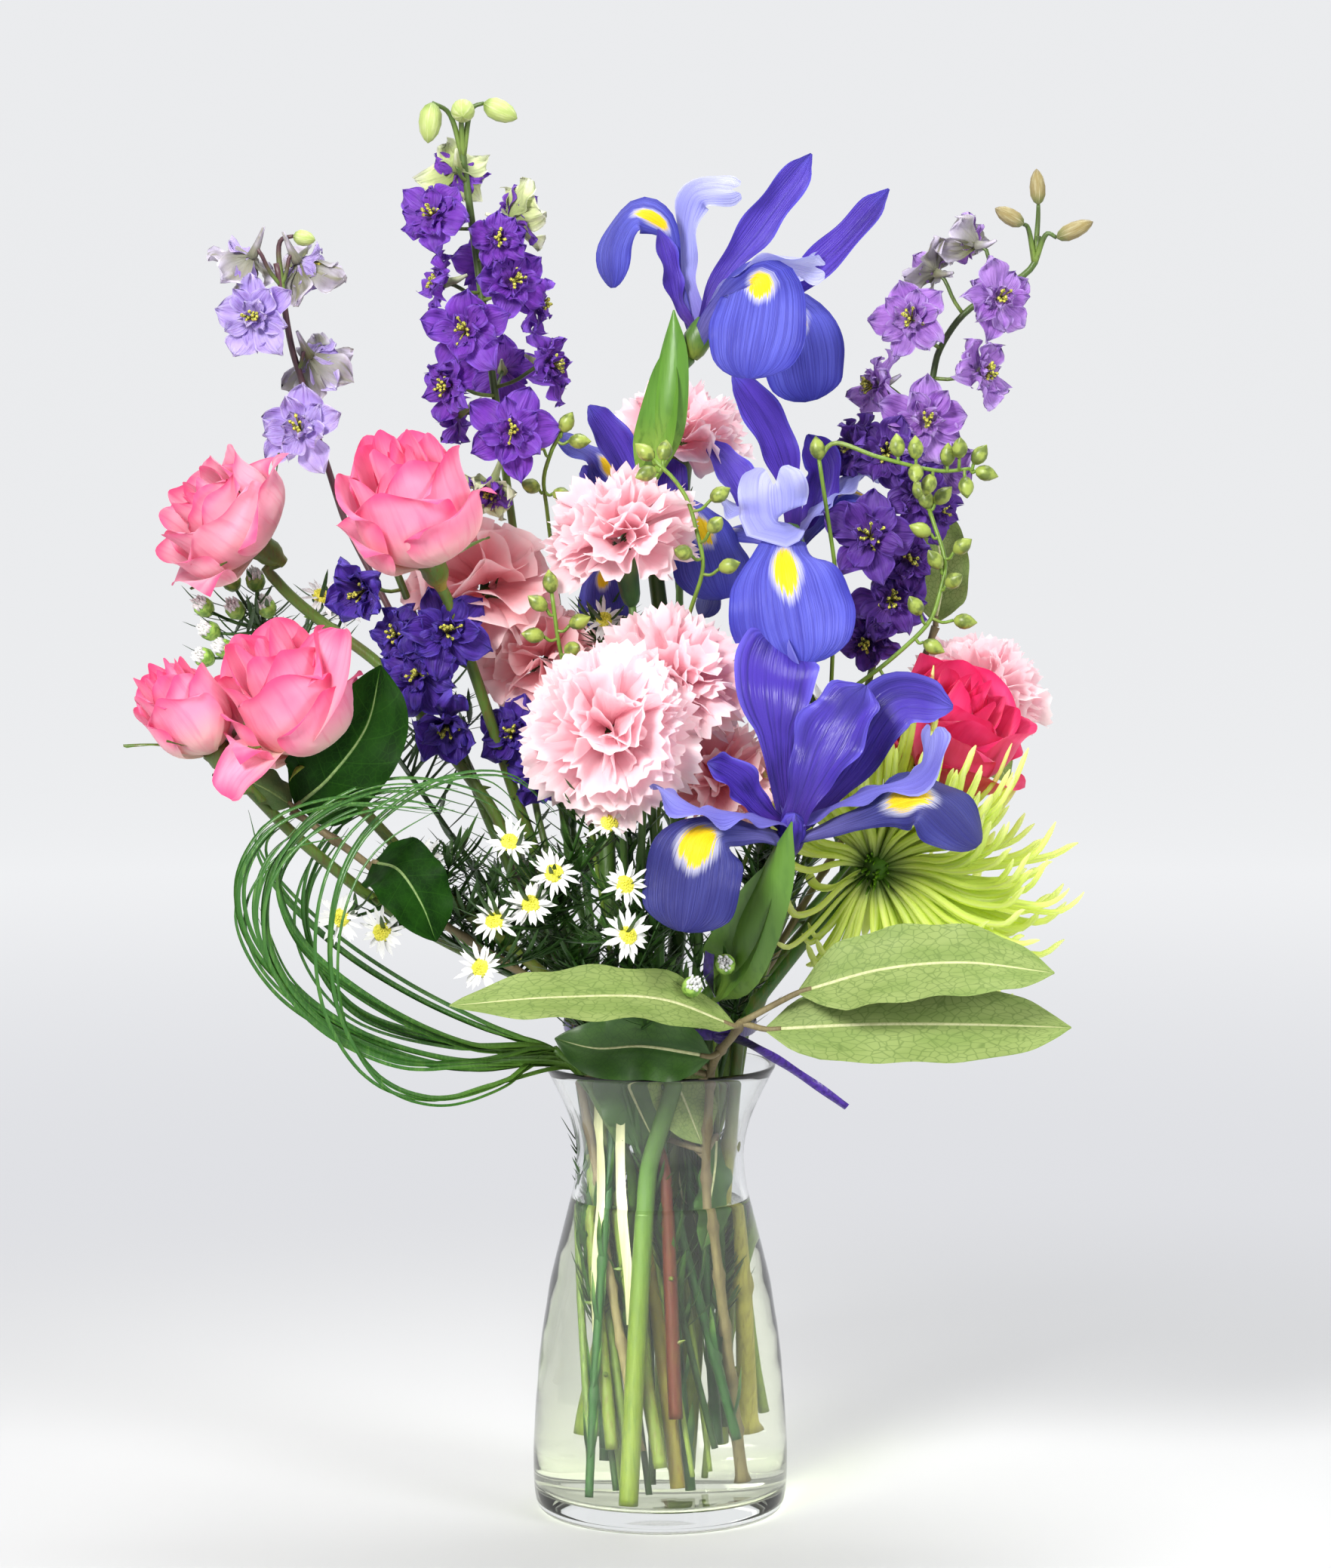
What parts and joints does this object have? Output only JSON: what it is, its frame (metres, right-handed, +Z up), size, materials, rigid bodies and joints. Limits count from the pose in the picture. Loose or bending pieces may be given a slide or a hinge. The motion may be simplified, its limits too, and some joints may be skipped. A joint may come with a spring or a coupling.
{
  "type": "flower bouquet in vase",
  "caption": "Mixed cut-flower bouquet tied with ribbon and standing in water in a clear waisted glass vase.",
  "frame": {"origin": "centre of the vase's foot, on the surface it stands on", "axes": "+Z up, +X to the right seen from the bouquet's front, -Y towards the front"},
  "size_m": [0.4139, 0.2206, 0.6366],
  "materials": {
    "stem_green": "smooth cut plant stem, satin",
    "iris_petal": "thin veined petal, velvety",
    "rose_petal": "thin cupped petal, velvety",
    "hot_pink_petal": "thin cupped petal, velvety",
    "carnation_petal": "thin pinked petal, matte",
    "larkspur_petal": "thin ruffled petal, matte",
    "lime_quill": "quilled petal, satin",
    "leaf_dark": "glossy leaf",
    "leaf_pale": "pale leaf underside with net veins, matte",
    "aster": "small petals, matte",
    "grass_green": "narrow leaf blade, satin",
    "ribbon": "satin ribbon",
    "clear_glass": "clear polished glass",
    "water": "clear still water"
  },
  "bodies": {
    "root": {"asters_1": "aster", "asters_2": "aster", "asters_3": "aster", "asters_4": "aster", "asters_5": "aster", "buds_1": "stem_green", "buds_2": "stem_green", "buds_3": "stem_green", "buds_4": "stem_green", "buds_5": "stem_green", "carnation_1": "carnation_petal", "carnation_1_stem": "stem_green", "carnation_2": "carnation_petal", "carnation_2_stem": "stem_green", "carnation_3": "carnation_petal", "carnation_3_stem": "stem_green", "carnation_4": "carnation_petal", "carnation_4_stem": "stem_green", "carnation_5": "carnation_petal", "carnation_5_stem": "stem_green", "carnation_6": "carnation_petal", "carnation_6_stem": "stem_green", "carnation_7": "carnation_petal", "carnation_7_stem": "stem_green", "carnation_8": "carnation_petal", "carnation_8_stem": "stem_green", "chrysanthemum": "lime_quill", "chrysanthemum_stem": "stem_green", "grass": "grass_green", "iris_1": "iris_petal", "iris_1_stem": "stem_green", "iris_2": "iris_petal", "iris_2_stem": "stem_green", "iris_3": "iris_petal", "iris_3_stem": "stem_green", "iris_4": "iris_petal", "iris_4_stem": "stem_green", "larkspur_1": "larkspur_petal", "larkspur_2": "larkspur_petal", "larkspur_3": "larkspur_petal", "larkspur_4": "larkspur_petal", "larkspur_5": "larkspur_petal", "leaves_1": "leaf_dark", "leaves_2": "leaf_pale", "leaves_3": "leaf_pale", "ribbon": "ribbon", "rose_1": "rose_petal", "rose_1_stem": "stem_green", "rose_2": "rose_petal", "rose_2_stem": "stem_green", "rose_3": "rose_petal", "rose_3_stem": "stem_green", "rose_4": "rose_petal", "rose_4_stem": "stem_green", "rose_5": "hot_pink_petal", "rose_5_stem": "stem_green", "vase": "clear_glass", "water": "water"}
  },
  "joints": []
}
